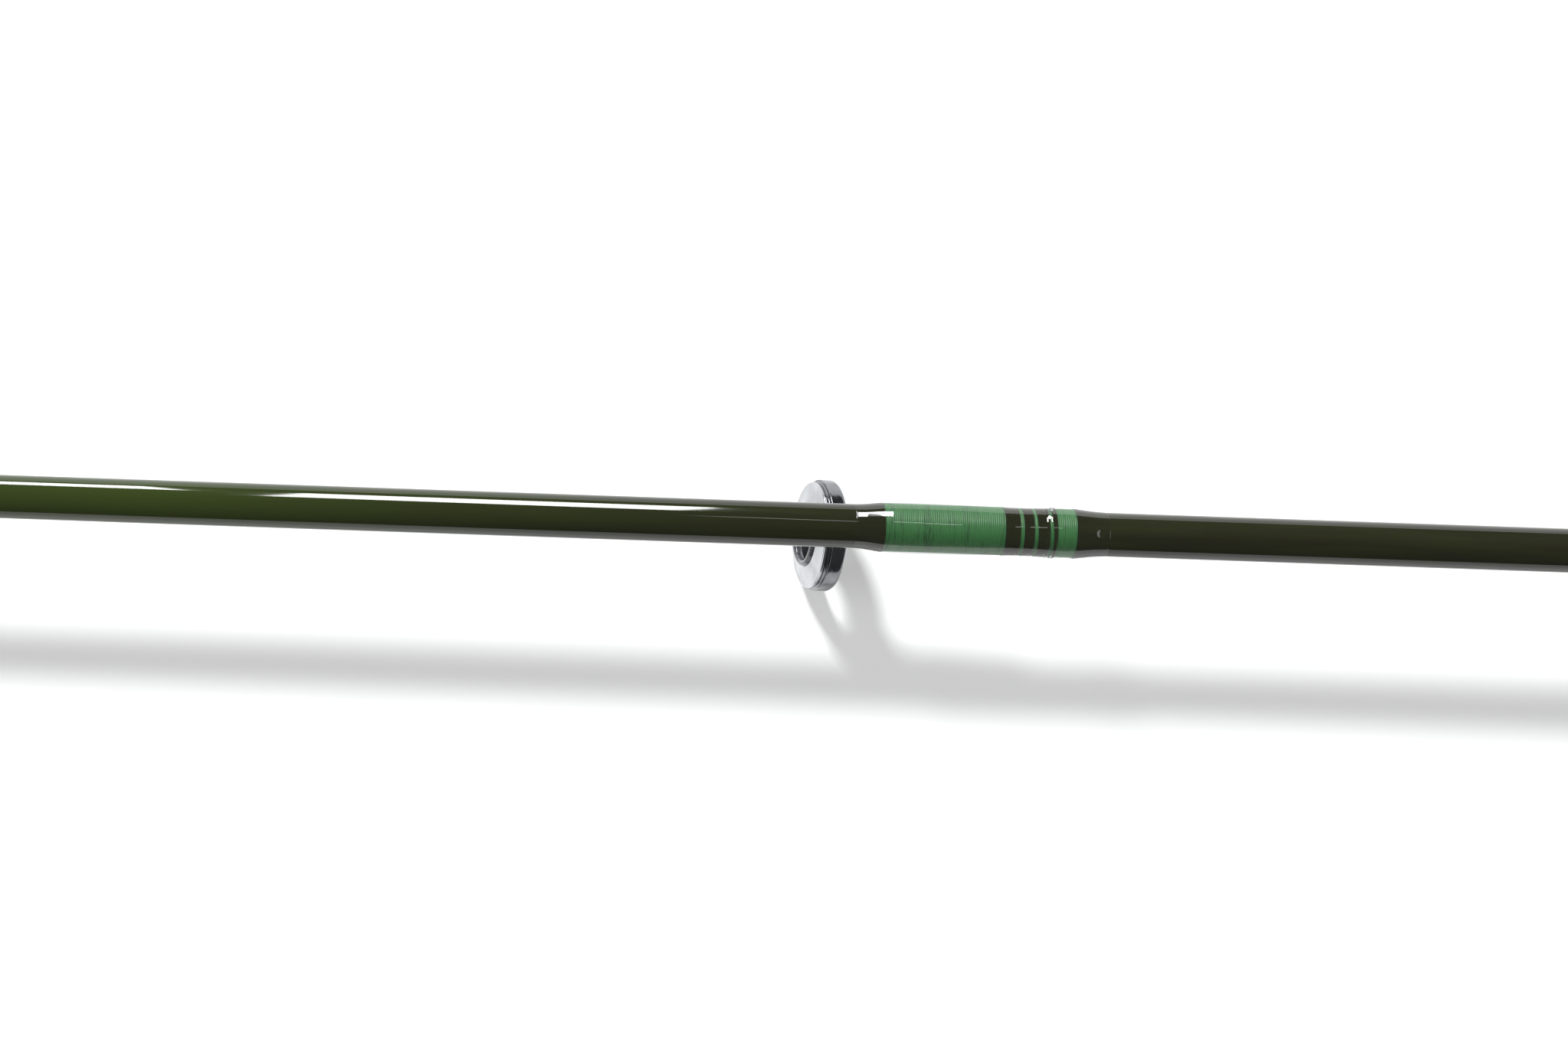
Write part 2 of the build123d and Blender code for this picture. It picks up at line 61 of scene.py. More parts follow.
def woven(name, points, body, closed_along=False):
    """Piece over a grid of points, with rows along it and columns that close round it.

    Quad (i, j) joins points (i, j), (i, j+1), (i+1, j+1) and (i+1, j). Unless the rows close
    too, each end row is fanned to its mean point. Rows towards +X with columns that turn from
    +Y to +Z give faces that point outwards.
    """
    rows, columns = points.shape[:2]
    index = np.arange(rows * columns).reshape(rows, columns)
    below = index if closed_along else index[:-1]
    above = np.roll(index, -1, 0) if closed_along else index[1:]
    quads = np.stack([below, np.roll(below, -1, 1), np.roll(above, -1, 1), above], -1).reshape(-1, 4)
    vertices = points.reshape(-1, 3)
    corners = quads.ravel()
    sizes = np.full(len(quads), 4)
    if not closed_along:
        first, last = rows * columns, rows * columns + 1
        vertices = np.concatenate([vertices, points[0].mean(0)[None], points[-1].mean(0)[None]])
        start = np.stack([np.full(columns, first), np.roll(index[0], -1), index[0]], -1)
        end = np.stack([np.full(columns, last), index[-1], np.roll(index[-1], -1)], -1)
        corners = np.concatenate([corners, start.ravel(), end.ravel()])
        sizes = np.concatenate([sizes, np.full(2 * columns, 3)])
    mesh = bpy.data.meshes.new(name)
    mesh.vertices.add(len(vertices))
    mesh.vertices.foreach_set("co", vertices.astype(np.float32).ravel())
    mesh.loops.add(len(corners))
    mesh.loops.foreach_set("vertex_index", corners.astype(np.int32))
    mesh.polygons.add(len(sizes))
    mesh.polygons.foreach_set("loop_start", np.concatenate([[0], np.cumsum(sizes)[:-1]]).astype(np.int32))
    mesh.polygons.foreach_set("use_smooth", np.ones(len(sizes), bool))
    mesh.update(calc_edges=True)
    piece = bpy.data.objects.new(name, mesh)
    bpy.context.scene.collection.objects.link(piece)
    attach(piece, body)
    return piece


def angles(count):
    """Angles round the rod, evenly spaced from +Y towards +Z."""
    return np.linspace(0, 2 * pi, count, endpoint=False)


def round_the_rod(x, radius, turn):
    """Grid of points at (x, radius) turned about the rod's axis: (x, r cos a, r sin a)."""
    x, radius, turn = np.broadcast_arrays(x, radius, turn)
    return np.stack([x, radius * np.cos(turn), radius * np.sin(turn)], -1)


def stepped(stations, gap):
    """Places along a line from its first station to its last, at most a gap apart."""
    return np.linspace(stations[0], stations[-1], int(np.ceil((stations[-1] - stations[0]) / gap)) + 1)


def new_material(name):
    """Node material and its parts: (material, nodes, links, the Principled shader)."""
    material = bpy.data.materials.new(name)
    material.use_nodes = True
    tree = material.node_tree
    return material, tree.nodes, tree.links, tree.nodes["Principled BSDF"]


def streaks_group():
    """Mask of noise on Object coordinates, stretched along any axis and cut to a range."""
    group = bpy.data.node_groups.new("streaks", "ShaderNodeTree")
    interface = group.interface
    interface.new_socket("Stretch", in_out="INPUT", socket_type="NodeSocketVector")
    for label, value in (("Detail", 3.0), ("Low", 0.35), ("High", 0.65)):
        socket = interface.new_socket(label, in_out="INPUT", socket_type="NodeSocketFloat")
        socket.default_value = value
    interface.new_socket("Mask", in_out="OUTPUT", socket_type="NodeSocketFloat")
    nodes, links = group.nodes, group.links
    inputs, outputs = nodes.new("NodeGroupInput"), nodes.new("NodeGroupOutput")
    place = nodes.new("ShaderNodeTexCoord")
    stretch = nodes.new("ShaderNodeVectorMath")
    stretch.operation = "MULTIPLY"
    noise = nodes.new("ShaderNodeTexNoise")
    noise.inputs["Scale"].default_value = 1.0
    cut = nodes.new("ShaderNodeMapRange")
    links.new(place.outputs["Object"], stretch.inputs[0])
    links.new(inputs.outputs["Stretch"], stretch.inputs[1])
    links.new(stretch.outputs[0], noise.inputs["Vector"])
    links.new(inputs.outputs["Detail"], noise.inputs["Detail"])
    links.new(noise.outputs["Fac"], cut.inputs["Value"])
    links.new(inputs.outputs["Low"], cut.inputs["From Min"])
    links.new(inputs.outputs["High"], cut.inputs["From Max"])
    links.new(cut.outputs["Result"], outputs.inputs["Mask"])
    return group


streaks = streaks_group()


def add_streaks(nodes, stretch, low=0.35, high=0.65, detail=3.0):
    """Streaks placed in a material, with this many noise cells to the metre along X, Y and Z."""
    group = nodes.new("ShaderNodeGroup")
    group.node_tree = streaks
    group.inputs["Stretch"].default_value = stretch
    group.inputs["Detail"].default_value = detail
    group.inputs["Low"].default_value = low
    group.inputs["High"].default_value = high
    return group.outputs["Mask"]


def blend_colours(nodes, links, mask, low, high):
    """Colour from low to high as the mask goes from 0 to 1. Either may be a colour or a socket."""
    mix = nodes.new("ShaderNodeMix")
    mix.data_type = "RGBA"
    links.new(mask, mix.inputs["Factor"])
    for socket, colour in ((mix.inputs["A"], low), (mix.inputs["B"], high)):
        if isinstance(colour, tuple):
            socket.default_value = (*colour, 1.0)
        else:
            links.new(colour, socket)
    return mix.outputs["Result"]


def range_of(nodes, links, value, low, high):
    """Mask from 0 to 1 stretched to run from low to high."""
    scale = nodes.new("ShaderNodeMapRange")
    links.new(value, scale.inputs["Value"])
    scale.inputs["To Min"].default_value = low
    scale.inputs["To Max"].default_value = high
    return scale.outputs["Result"]


def bump(nodes, links, height, depth, shader):
    """Fine relief, a depth in metres, that drives the shader's normal."""
    relief = nodes.new("ShaderNodeBump")
    relief.inputs["Strength"].default_value = 1.0
    relief.inputs["Distance"].default_value = depth
    links.new(height, relief.inputs["Height"])
    links.new(relief.outputs["Normal"], shader.inputs["Normal"])


def along_the_rod(nodes, links, start, end):
    """Mask that goes from 0 at x = start to 1 at x = end."""
    place = nodes.new("ShaderNodeTexCoord")
    split = nodes.new("ShaderNodeSeparateXYZ")
    ramp = nodes.new("ShaderNodeMapRange")
    ramp.inputs["From Min"].default_value = start
    ramp.inputs["From Max"].default_value = end
    links.new(place.outputs["Object"], split.inputs["Vector"])
    links.new(split.outputs["X"], ramp.inputs["Value"])
    return ramp.outputs["Result"]


blank_olive = (0.022, 0.026, 0.0100)
blank_brown = (0.0165, 0.0165, 0.0080)
# Painted green sheen of the key light on the blank, not the glass's own colour.
blank_green_sheen = (0.033, 0.050, 0.0105)


def blank_material(sheen_from, sheen_to):
    """Olive-brown glass with a painted green sheen, standing in for the key light's broad glossy lobe, that
    comes in between two places along the rod.
    """
    material, nodes, links, shader = new_material("glass_blank")
    cloth = add_streaks(nodes, (60, 900, 900), 0.3, 0.7)
    clouds = add_streaks(nodes, (45, 45, 45), 0.3, 0.7, 2.0)
    brown = blend_colours(nodes, links, cloth, blank_brown, blank_olive)
    # Painted sheen: the colour turns greener through mottled clouds from the first place to the second, and
    # stays green towards the tip.
    sheen_ramp = along_the_rod(nodes, links, sheen_from, sheen_to)
    mixed = blend_colours(nodes, links, sheen_ramp, brown, blank_green_sheen)
    cloudy = blend_colours(nodes, links, clouds, brown, mixed)
    halfway = blend_colours(nodes, links, sheen_ramp, cloudy, mixed)
    links.new(halfway, shader.inputs["Base Color"])
    links.new(range_of(nodes, links, cloth, 0.3, 0.4), shader.inputs["Roughness"])
    shader.inputs["Specular IOR Level"].default_value = 0.0
    shader.inputs["Coat Weight"].default_value = 1.0
    shader.inputs["Coat Roughness"].default_value = 0.04
    bump(nodes, links, cloth, 0.004 * mm, shader)
    return material


butt_stations, butt_radii = taper(butt_taper)
tip_stations, tip_radii = taper(tip_taper)
ferrule_mouth = tip_stations[0]
socket_depth = butt_stations[-1] - ferrule_mouth + 5 * mm
socket_clearance = 0.04 * mm


def blank_radius(x):
    """Outer radius of the section that shows at x."""
    on_butt = np.interp(x, butt_stations, butt_radii)
    on_tip = np.interp(x, tip_stations, tip_radii)
    return np.where(np.asarray(x) < ferrule_mouth, on_butt, on_tip)


shown_ring = sum(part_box("guide_4_insert"), Vector()) / 2
rod_glass = blank_material(shown_ring.x + 4 * mm, shown_ring.x + 60 * mm)

butt_x = stepped(butt_stations, 2.0 * mm)
butt_r = np.interp(butt_x, butt_stations, butt_radii)
butt_points = round_the_rod(butt_x[:, None], butt_r[:, None], angles(88))
butt_blank = woven("butt_blank_tube", butt_points, "butt_section")
butt_blank.data.materials.append(rod_glass)
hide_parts("butt_blank")

# The path starts at the bottom of the socket, comes out of its mouth, and runs on to the tip.
# The mouth's two edges are broken a little.
inner_break, outer_break = 0.3 * mm, 0.12 * mm
bore_x = np.linspace(ferrule_mouth + socket_depth, ferrule_mouth + inner_break, 60)
bore_r = np.interp(bore_x, butt_stations, butt_radii) + socket_clearance
lip_r = np.linspace(bore_r[-1] + 0.1 * mm, tip_radii[0] - outer_break, 4)
tip_x = stepped(tip_stations, 1.6 * mm)
tip_x[0] += outer_break
tip_path_x = np.concatenate([bore_x, np.full(4, ferrule_mouth), tip_x])
tip_path_r = np.concatenate([bore_r, lip_r, np.interp(tip_x, tip_stations, tip_radii)])
tip_points = round_the_rod(tip_path_x[:, None], tip_path_r[:, None], angles(104))
tip_blank = woven("tip_blank_tube", tip_points, "tip_section")
tip_blank.data.materials.append(rod_glass)
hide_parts("tip_blank")

# The plug in the butt section's end is black moulded plastic, seen when the rod is apart.
plug_plastic, nodes, links, shader = new_material("plug_plastic")
moulding = add_streaks(nodes, (1500, 1500, 1500), 0.3, 0.7)
black = blend_colours(nodes, links, moulding, (0.012, 0.012, 0.012), (0.03, 0.03, 0.03))
links.new(black, shader.inputs["Base Color"])
links.new(range_of(nodes, links, moulding, 0.4, 0.55), shader.inputs["Roughness"])


def finish_node(node, material):
    """A CAD node keeps its own shape and gets this material."""
    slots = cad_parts[node].data.materials
    slots.clear()
    slots.append(material)


finish_node("ferrule_plug", plug_plastic)


# --- Ring guides --------------------------------------------------------------------------
# Each guide is a stamped and polished stainless frame: a grooved ring on a leg that ends in a
# foot ground thin. A dark ceramic ring is pressed into it, and the line runs through that.

section_radius = 5.05
guide_names = ["stripper", *(f"guide_{number}" for number in range(1, 9)), "tip_top"]
body_of_guide = {name: "butt_section" if name in ("stripper", "guide_1") else "tip_section"
                 for name in guide_names}
lean_of_guide = {name: 0.0 if name in ("stripper", "tip_top") else radians(10) for name in guide_names}
insert_radius = 2.85
insert_ahead = 1.35
wrap_size_of_section = section_radius / 5.25


def arc(centre, radius, start, end, count=7):
    """Points on an arc, from one angle to another in degrees, about a centre in (along, out)."""
    turn = np.radians(np.linspace(start, end, count))
    return np.stack([centre[0] + radius * np.cos(turn), centre[1] + radius * np.sin(turn)], -1)


def joined(*runs):
    """One run of (along, out) points from several runs or points, in order."""
    return np.concatenate([np.reshape(run, (-1, 2)) for run in runs])


def eased_run(start, end, count, sag=0.0):
    """Points on a straight run that bows sideways by the sag at its middle, as a parabola."""
    share = np.linspace(0, 1, count)[:, None]
    start, end = np.array(start), np.array(end)
    side = np.array([-(end - start)[1], (end - start)[0]]) / np.linalg.norm(end - start)
    return start + share * (end - start) + 4 * sag * share * (1 - share) * side


# Outline of the metal ring at the section radius, clockwise with the tip to the right: over
# the barrel from its back rim, round the groove and the front rim, along the web to the
# insert's seat, and back through the hollow behind the web.
band_outline = joined(
    arc((-0.6, 4.6), 0.45, 180, 90, 10),
    eased_run((-0.5, 5.05), (0.3, 5.05), 5, 0.0),
    arc((0.36, 4.97), 0.08, 90, 0, 4),
    arc((0.56, 4.86), 0.12, 180, 270, 5),
    arc((0.68, 4.86), 0.12, 290, 350, 4),
    arc((0.9, 4.64), 0.17, 130, -20, 9),
    eased_run((1.06, 4.44), (1.36, 2.98), 10, -0.05),
    arc((1.3, 2.91), 0.08, 30, -70, 4),
    ((0.96, 2.86),),
    eased_run((0.94, 2.95), (0.54, 4.28), 8, -0.05),
    arc((0.24, 4.2), 0.3, 20, 90, 6),
    ((-0.85, 4.52), (-1.0, 4.56)),
)
insert_outline = joined(arc((1.24, 2.56), 0.29, 270, 90, 13), arc((1.46, 2.56), 0.29, 90, -90, 13))


class Ring:
    """Place, scale and lean of a guide's ring, read from the box of its insert."""

    def __init__(self, name):
        low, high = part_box(f"{name}_insert")
        self.scale = (high.y - low.y) / 2 / insert_radius
        self.lean = lean_of_guide[name]
        self.along = np.array([cos(self.lean), 0, sin(self.lean)])
        self.inward = np.array([-sin(self.lean), 0, cos(self.lean)])
        self.centre = np.array((low + high) / 2) - insert_ahead * self.scale * self.along

    def point(self, along, out):
        """Point of the ring's section on the side nearest the blank."""
        return self.centre + self.scale * (along * self.along + out * self.inward)

    def turned(self, outline, count):
        """Outline carried round the ring: centre + along * axis + out * (side cos a + inward sin a)."""
        turn = angles(count)
        side = np.array([0.0, 1.0, 0.0])
        spoke = np.cos(turn)[:, None] * side + np.sin(turn)[:, None] * self.inward
        along, out = self.scale * outline[:, 0], self.scale * outline[:, 1]
        return self.centre + along[:, None, None] * self.along + out[:, None, None] * spoke


def strip(path, half_width, half_depth, count=28):
    """Rounded bar swept along a path in the XZ plane.

    Its section is a superellipse, (|cos a|^0.6 across, |sin a|^0.6 deep), square to the path.
    """
    turn = angles(count)
    tangent = np.gradient(path, axis=0)
    tangent /= np.linalg.norm(tangent, axis=1)[:, None]
    across = np.array([0.0, 1.0, 0.0])
    depth = np.cross(tangent, across)
    wide = np.sign(np.cos(turn)) * np.abs(np.cos(turn)) ** 0.6
    deep = np.sign(np.sin(turn)) * np.abs(np.sin(turn)) ** 0.6
    return (path[:, None] + (half_width[:, None] * wide)[..., None] * across
            + (half_depth[:, None] * deep)[..., None] * depth[:, None])


def joined_piece(name, parts, body):
    """One piece made of several grids of points: each part is (points, closed_along).

    A part may have a third item, a mask with a value at each point, kept as the attribute "mask".
    """
    pieces = []
    for number, (points, closed, *mask) in enumerate(parts):
        piece = woven(f"{name}_{number}", points, body, closed)
        pieces.append(piece)
        if mask:
            values = np.zeros(len(piece.data.vertices), np.float32)
            values[:mask[0].size] = mask[0].ravel()
            piece.data.attributes.new("mask", "FLOAT", "POINT").data.foreach_set("value", values)
    first = pieces[0]
    if len(pieces) > 1:
        with bpy.context.temp_override(active_object=first, selected_editable_objects=pieces):
            bpy.ops.object.join()
    first.name = name
    first.data.name = name
    return first


wrap_edge = {}
for name in guide_names[:-1]:
    low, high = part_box(f"{name}_wrap")
    ring = Ring(name)
    size = ring.scale / mm * wrap_size_of_section
    span = 18.0 * size * mm
    wrap_edge[name] = [(high.x, -1)] if name != "stripper" else [(low.x + span, -1), (high.x - span, 1)]


def leg_points(ring, start, direction, size):
    """Grid over a leg and foot.

    The path is a quadratic curve from the ring's barrel to the heel, then a straight foot
    along the blank. Depth eases from the leg's to the foot's ground end.
    """
    foot_length, rise, end_rise = 9.2 * size, 0.75 * size, 0.25 * mm
    heel_x = start - direction * 0.4 * size
    heel = np.array([heel_x, 0, -blank_radius(heel_x) - rise / 2])
    end_x = start + direction * foot_length
    end = np.array([end_x, 0, -blank_radius(end_x) - end_rise / 2])
    top = ring.point(0.12 * direction, 4.75)
    bend = heel + np.array([-direction * 1.5 * size, 0, 0.05 * size])
    share = np.linspace(0, 1, 18)[:, None]
    leg = (1 - share) ** 2 * top + 2 * share * (1 - share) * bend + share ** 2 * heel
    foot = heel + np.linspace(0, 1, 14)[1:, None] * (end - heel)
    path = np.concatenate([leg, foot])
    travel = np.concatenate([np.linspace(0, 1, 18), np.linspace(1, 2, 14)[1:]])
    width = np.interp(travel, [0, 0.5, 1, 1.8, 2], [1.35, 1.05, 1.1, 1.0, 0.75]) * size
    depth = np.interp(travel, [0, 0.6, 1], [0.5, 0.42, 0.375]) * size
    depth = np.where(travel > 1, np.interp(travel, [1, 2], [rise / 2, end_rise / 2]), depth)
    return strip(path, width, depth)


# The metal is polished bright. The mask darkens its colour: fully on a ring's barrel and groove, where the
# darker colour is a painted dark reflection, and halfway on legs, struts and the tip top's tube.
half_darkened = 0.5
guide_metal, nodes, links, shader = new_material("guide_metal")
polish = add_streaks(nodes, (2600, 2600, 2600), 0.35, 0.65)
handling = add_streaks(nodes, (420, 420, 420), 0.4, 0.62, 4.0)
darkening_mask = nodes.new("ShaderNodeAttribute")
darkening_mask.attribute_name = "mask"
# The darker colour is a painted dark reflection on the rings' barrels; on legs, struts and the tip top's tube
# the mask mixes it in halfway.
painted_dark_reflection = blend_colours(nodes, links, handling, (0.17, 0.175, 0.185), (0.25, 0.255, 0.265))
bright = blend_colours(nodes, links, handling, (0.45, 0.46, 0.475), (0.58, 0.59, 0.605))
links.new(blend_colours(nodes, links, darkening_mask.outputs["Fac"], bright, painted_dark_reflection), shader.inputs["Base Color"])
links.new(range_of(nodes, links, polish, 0.09, 0.18), shader.inputs["Roughness"])
shader.inputs["Metallic"].default_value = 1.0
bump(nodes, links, polish, 0.002 * mm, shader)

ceramic, nodes, links, shader = new_material("ceramic")
speckle = add_streaks(nodes, (5200, 5200, 5200), 0.42, 0.6)
slate = blend_colours(nodes, links, speckle, (0.045, 0.048, 0.055), (0.085, 0.09, 0.1))
links.new(slate, shader.inputs["Base Color"])
links.new(range_of(nodes, links, speckle, 0.12, 0.2), shader.inputs["Roughness"])
shader.inputs["Coat Weight"].default_value = 0.6
shader.inputs["Coat Roughness"].default_value = 0.05

# Painted dark reflection, full to 0.8 either side of the barrel's middle, at -0.05, and none from 1.0 on.
barrel_dark_reflection = np.clip((1.0 - np.abs(band_outline[:, 0] + 0.05)) / 0.2, 0, 1)

for name in guide_names:
    ring = Ring(name)
    detail = 160 if name == "guide_4" else 96
    parts = [(ring.turned(band_outline, detail), True, np.repeat(barrel_dark_reflection, detail))]
    if name == "tip_top":
        low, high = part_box("tip_top_frame")
        tube_r = 1.5 * mm
        tube = joined(((low.x, 1.0 * mm), (low.x, tube_r - 0.1 * mm), (low.x + 0.1 * mm, tube_r)),
                      np.stack([np.linspace(low.x + 1 * mm, high.x - 6 * mm, 6), np.full(6, tube_r)], -1),
                      arc((tip_stations[-1] + 0.8 * mm, tube_r - 0.7 * mm), 0.7 * mm, 90, 0),
                      ((tip_stations[-1] + 1.5 * mm, 0.2 * mm),))
        tube_points = round_the_rod(tube[:, :1], tube[:, 1:], angles(48))
        parts.append((tube_points, False, np.full(tube_points[..., 0].size, half_darkened)))
        for side in (-1, 1):
            near = np.array([low.x + 2.5 * mm, side * 1.1 * mm, -0.9 * mm])
            far = ring.centre + np.array([-0.2 * mm, side * 3.0 * mm, 0])
            path = near + np.linspace(0, 1, 12)[:, None] * (far - near)
            strut = strip(path, np.full(12, 0.42 * mm), np.full(12, 0.42 * mm), 16)
            parts.append((strut, False, np.full(strut[..., 0].size, half_darkened)))
    else:
        for start, direction in wrap_edge[name]:
            size = ring.scale * wrap_size_of_section
            leg = leg_points(ring, start, direction, size)
            parts.append((leg, False, np.full(leg[..., 0].size, half_darkened)))
    metal = joined_piece(f"{name}_ring_frame", parts, body_of_guide[name])
    metal.data.materials.append(guide_metal)
    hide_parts(f"{name}_frame")
    insert = woven(f"{name}_ceramic_ring", ring.turned(insert_outline, detail), body_of_guide[name], True)
    insert.data.materials.append(ceramic)
    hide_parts(f"{name}_insert")


# --- Thread wraps -------------------------------------------------------------------------
# One layer of green nylon thread, about 0.2 mm thick, is wound tight over each foot and on to
# the bare blank. Three narrow trim bands and a wider one follow, of the same thread. Places
# along a wrap are in millimetres from its edge, on a guide of the shown one's size.

thread_pitch = 0.2 * mm
thread_depth = 0.19 * mm
trim_depth = 0.15 * mm
groove_depth = 0.05 * mm
trim_starts = (12.6, 13.9, 15.35)
trim_width = 0.42
last_trim = (16.05, 18.0)
thread_length = 11.3
foot_length = 9.2


def drawn_round(turn, radius, rise, half_width, cover):
    """Outline of a sleeve drawn tight round the blank and a foot under it, as a radius at each angle.

    It is the convex hull of a circle of the blank's radius plus the cover and a circle of the
    cover's radius at each corner of the foot: a flat below the foot, an arc round its corner,
    a straight tangent back to the blank, and the blank's own circle.
    """
    swing = np.abs((turn + pi / 2 + pi) % (2 * pi) - pi)
    reach = radius + rise
    corner = np.hypot(half_width, reach)
    bearing = np.arctan2(half_width, reach)
    tangent = bearing + np.arccos(np.clip(radius / corner, -1, 1))
    flat = (reach + cover) / np.maximum(np.cos(swing), 0.05)
    beside = corner * np.cos(swing - bearing)
    rounded = beside + np.sqrt(np.maximum(cover ** 2 - corner ** 2 + beside ** 2, 0))
    straight = (radius + cover) / np.maximum(np.cos(swing - tangent), 0.05)
    flat_end = np.arctan2(half_width, reach + cover)
    arc_end = np.arctan2(half_width + cover * np.sin(tangent), reach + cover * np.cos(tangent))
    outline = np.where(swing < flat_end, flat, np.where(swing < arc_end, rounded, straight))
    return np.where(swing < tangent, np.maximum(outline, radius + cover), radius + cover)


def foot_under(distance, size, length):
    """(rise, half width) of the foot at a distance from the wrap's edge; both fade past its end."""
    fade = np.clip((length + 0.6 * mm - distance) / (0.9 * mm), 0, 1)
    fade = fade * fade * (3 - 2 * fade)
    rise = np.interp(distance, [-2 * mm, 0, length], [0.95 * size, 0.75 * size, 0.25 * mm]) * fade
    return rise, 1.05 * size * fade


def wound(start, direction, near, far, size, foot, detail, columns, depth=thread_depth, lean=0.0):
    """Grid over a wound band between two distances from the wrap's edge.

    The radius is the drawn outline less a groove where turns meet: the crest of a turn is a
    circle's, groove * (sqrt(1 - s^2) - 1), with s from -1 to 1 across the turn, and each turn
    follows a helix. A lean tips the whole band a little round its middle.
    """
    turns = max(2, round((far - near) / thread_pitch))
    distance = np.linspace(near, far, turns * detail + 1)[:, None]
    turn = angles(columns)[None]
    x = start + direction * distance
    radius = blank_radius(x)
    rise, half_width = foot_under(distance, size, foot) if foot else (np.zeros_like(distance),) * 2
    outer = drawn_round(turn, radius, rise, np.maximum(half_width, 1e-6), depth)
    across = 2 * ((distance / thread_pitch - turn / (2 * pi)) % 1.0) - 1
    outer = outer + groove_depth * (np.sqrt(1 - 0.97 * across ** 2) - 1)
    end = np.clip(np.minimum(distance - near, far - distance) / (0.09 * mm), 0, 1)
    outer = radius - 0.02 * mm + (outer - radius + 0.02 * mm) * np.sqrt(1 - (1 - end) ** 2)
    shift = -lean * np.cos(turn)
    points = round_the_rod(x + shift, outer, turn)
    return points if direction > 0 else points[::-1]


thread_green = (0.054, 0.240, 0.066)
thread_deep = (0.018, 0.082, 0.028)
green_thread, nodes, links, shader = new_material("green_thread")
fibres = add_streaks(nodes, (9000, 1400, 1400), 0.3, 0.7)
tension = add_streaks(nodes, (4300, 240, 240), 0.34, 0.46, 2.0)
soaked = blend_colours(nodes, links, tension, thread_deep, thread_green)
links.new(blend_colours(nodes, links, fibres, soaked, thread_green), shader.inputs["Base Color"])
links.new(range_of(nodes, links, fibres, 0.35, 0.5), shader.inputs["Roughness"])
bump(nodes, links, fibres, 0.004 * mm, shader)


def wrap_piece(name, bands, body, *nodes_replaced):
    """Wound bands joined as one piece of thread."""
    piece = joined_piece(name, [(band, False) for band in bands], body)
    piece.data.materials.append(green_thread)
    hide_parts(*nodes_replaced)
    return piece


for name in guide_names[:-1]:
    ring = Ring(name)
    size = ring.scale * wrap_size_of_section
    detail, columns = (8, 128) if name == "guide_4" else (5, 64)
    foot_end = foot_length * size
    last_near, last_far = last_trim[0] * size, last_trim[1] * size
    bands = []
    for start, direction in wrap_edge[name]:
        bands.append(wound(start, direction, 0.0, thread_length * size, size, foot_end, detail, columns))
        for number, trim_start in enumerate(trim_starts):
            near = trim_start * size
            lean = (0.05 + 0.03 * number) * mm
            bands.append(wound(start, direction, near, near + trim_width * mm, size, 0, detail, columns,
                               trim_depth, lean))
        bands.append(wound(start, direction, last_near, last_far, size, 0, detail, columns))
    wrap_piece(f"{name}_thread", bands, body_of_guide[name], f"{name}_wrap")

for node, body, reach in (("butt_ferrule_wrap", "butt_section", 0), ("socket_wrap", "tip_section", 0),
                          ("tip_top_wrap", "tip_section", 0)):
    low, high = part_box(node)
    band = wound(low.x, 1, 0.0, high.x - low.x, 1.0, 0, 4, 56)
    wrap_piece(f"{node}_thread", [band], body, node)


# --- Clear finish -------------------------------------------------------------------------
# Two coats of epoxy, turned while it sets, lie over every wrap. The finish runs out on to the
# blank in a thin ramp at both ends, sinks a little between the trim bands and dries glossy.

# Depth of the finish at places along a wrap, both in millimetres.
finish_steps = ((-2.7, 0.0), (-1.85, 0.03), (0.1, 0.25), (0.7, 0.285), (2.0, 0.31), (3.56, 0.33),
                (5.5, 0.315), (7.1, 0.295), (9.0, 0.245), (10.6, 0.205), (11.3, 0.195), (11.9, 0.165),
                (12.5, 0.165), (12.8, 0.185), (13.4, 0.16), (14.1, 0.18), (15.15, 0.2), (15.45, 0.285),
                (16.3, 0.31), (17.1, 0.3), (18.0, 0.26), (18.5, 0.2), (19.2, 0.13), (19.9, 0.06),
                (20.6, 0.02), (21.1, 0.0))
thread_bands = ((0.0, thread_length), *((near, near + trim_width) for near in trim_starts), last_trim)


def over_bands(distance, bands, size):
    """1 over a band of thread and 0 elsewhere, with an edge 0.12 mm wide."""
    inside = [np.minimum(distance - near * size, far * size - distance) for near, far in bands]
    return np.clip(np.max(inside, 0) / (0.12 * mm) + 0.5, 0, 1)


